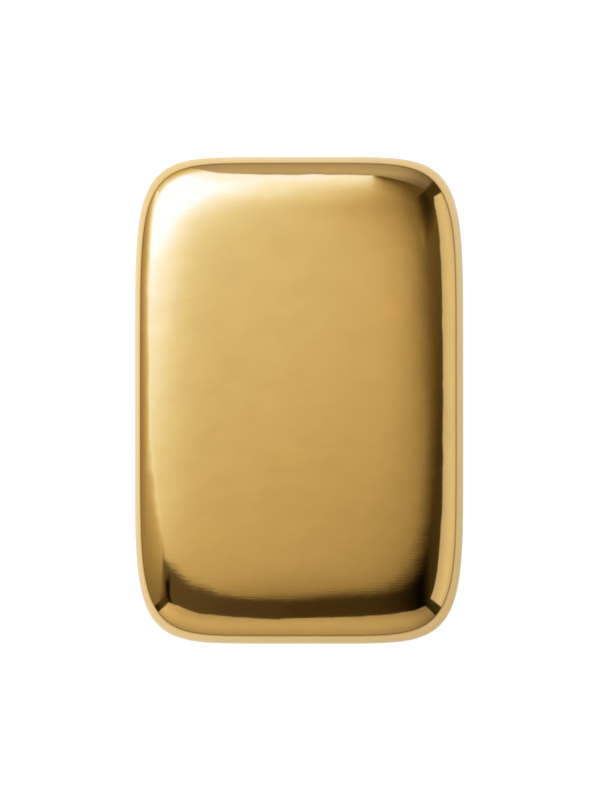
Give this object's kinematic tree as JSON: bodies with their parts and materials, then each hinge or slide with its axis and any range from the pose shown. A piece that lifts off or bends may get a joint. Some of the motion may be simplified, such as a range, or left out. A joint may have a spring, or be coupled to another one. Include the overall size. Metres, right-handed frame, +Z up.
{
  "type": "metal ingot",
  "caption": "Rounded rectangular brass ingot with side walls that roll in to a fine crease and a soft crowned pillow face; solid raw stock that lies on its flat pour face.",
  "frame": {"origin": "middle of the flat pour face that the ingot lies on", "axes": "+Y along the ingot, +X across it, +Z up through the pillow face"},
  "size_m": [0.0742, 0.11, 0.0184],
  "materials": {
    "brass": "satin"
  },
  "bodies": {
    "root": {"ingot": "brass"}
  },
  "joints": []
}
